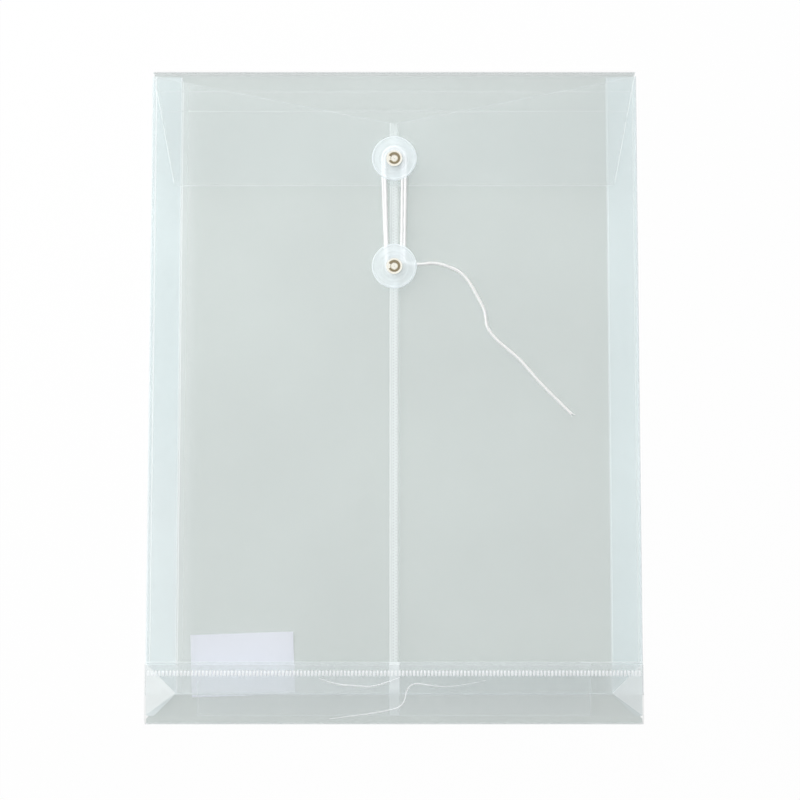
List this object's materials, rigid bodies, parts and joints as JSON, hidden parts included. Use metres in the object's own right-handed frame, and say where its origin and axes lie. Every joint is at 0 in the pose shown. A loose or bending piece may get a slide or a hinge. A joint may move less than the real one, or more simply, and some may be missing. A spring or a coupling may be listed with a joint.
{
  "type": "string tie envelope",
  "caption": "Flat gusseted document envelope of translucent film with a fold-over flap, a block bottom, spinning washer buttons and a wound tie string.",
  "frame": {"origin": "on the outside of the back film, under the middle of the envelope", "axes": "+X across the width, +Y towards the closing flap, +Z out of the front with the buttons"},
  "size_m": [0.24, 0.32, 0.0104],
  "materials": {
    "film": "frosted translucent polypropylene film, faintly grey-green where it is doubled",
    "washer_plastic": "milky translucent moulded plastic, smooth",
    "eyelet_brass": "pale lacquered brass, polished",
    "string_cotton": "white braided cotton string, matt",
    "label_paper": "plain white sticker paper, matt"
  },
  "bodies": {
    "back": {"back_panel": "film", "blank_label": "label_paper", "left_gusset": "film", "right_gusset": "film", "bottom_outer_flap": "film", "bottom_inner_flap": "film", "bottom_corner_left": "film", "bottom_corner_right": "film"},
    "front": {"front_panel_left": "film", "front_panel_right": "film", "lower_eyelet": "eyelet_brass", "string_knot": "string_cotton", "string_loops": "string_cotton", "string_tail": "string_cotton"},
    "spine": {"flap_spine": "film"},
    "flap": {"flap": "film", "upper_eyelet": "eyelet_brass"},
    "upper_button": {"upper_washer": "washer_plastic"},
    "lower_button": {"lower_washer": "washer_plastic"}
  },
  "joints": [
    {"name": "flap_root_crease", "type": "hinge", "parent": "back", "child": "spine", "pos_m": [0, 0.15987, 0.00013], "axis": [-1, 0, 0], "range_deg": [0, 90], "deforming": ["string_loops"]},
    {"name": "flap_crease", "type": "hinge", "parent": "spine", "child": "flap", "pos_m": [0, 0.15987, 0.00713], "axis": [-1, 0, 0], "range_deg": [0, 84]},
    {"name": "mouth_crease", "type": "hinge", "parent": "back", "child": "front", "pos_m": [0, -0.145, 0.00588], "axis": [1, 0, 0], "range_deg": [0, 1.5], "deforming": ["left_gusset", "right_gusset"]},
    {"name": "upper_washer_spin", "type": "hinge", "parent": "flap", "child": "upper_button", "pos_m": [0, 0.1158, 0.0093], "axis": [0, 0, 1], "continuous": true},
    {"name": "lower_washer_spin", "type": "hinge", "parent": "front", "child": "lower_button", "pos_m": [0, 0.0622, 0.0093], "axis": [0, 0, 1], "continuous": true}
  ],
  "couplings": [
    {"joint": "mouth_crease", "follows": "flap_root_crease", "ratio": 0.016666}
  ]
}
